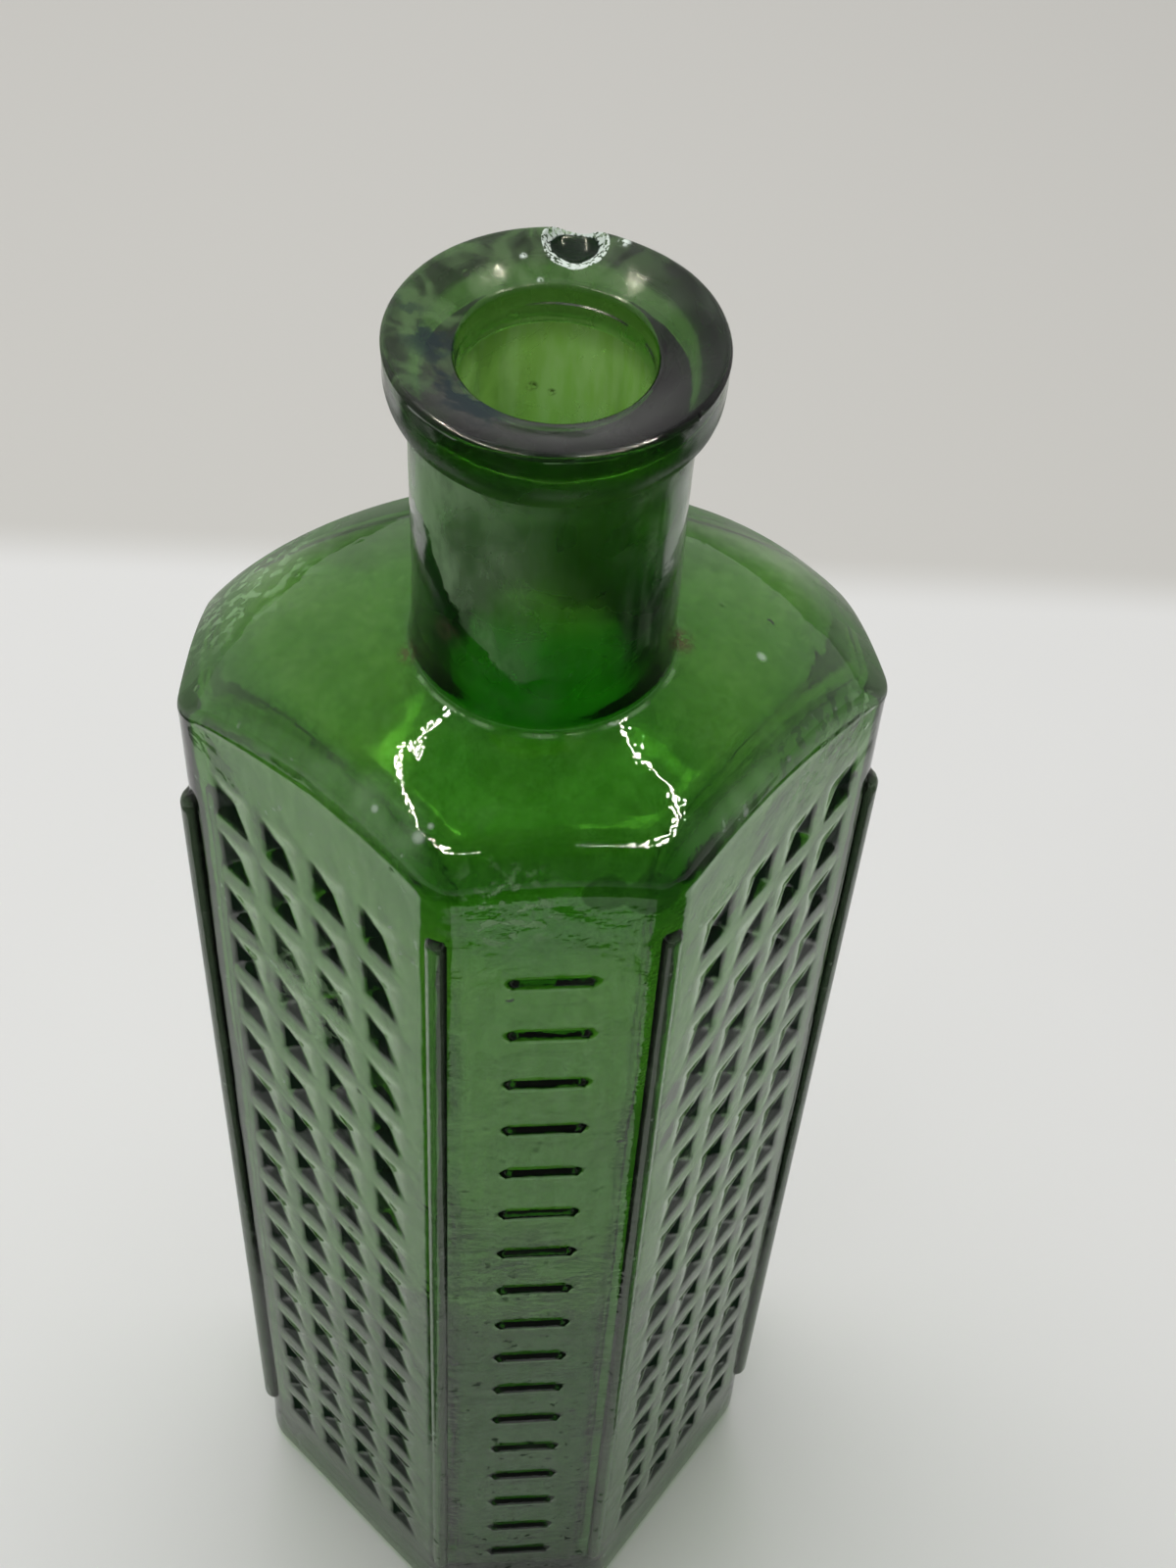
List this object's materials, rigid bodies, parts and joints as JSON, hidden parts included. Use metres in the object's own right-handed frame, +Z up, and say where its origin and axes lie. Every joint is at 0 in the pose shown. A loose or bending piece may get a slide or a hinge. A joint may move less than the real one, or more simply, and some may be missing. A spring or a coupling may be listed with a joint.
{
  "type": "glass bottle",
  "caption": "Six-sided poison bottle in green glass with sunken four-sided facets on two wide panels, corner ribs and an applied lip.",
  "frame": {"origin": "on the surface that the bottle stands on, under the neck's axis, at the middle of the plan", "axes": "+Z up along the neck's axis and out of the mouth, -Y towards the narrow front panel, +X to the right of the front panel"},
  "size_m": [0.0762, 0.054, 0.231],
  "materials": {
    "body_glass": "glossy green glass, lightly scuffed and stained inside",
    "lip_glass": "glossy green glass, hand tooled, with a small chip"
  },
  "bodies": {
    "root": {"glass_body": "body_glass", "applied_lip": "lip_glass"}
  },
  "joints": []
}
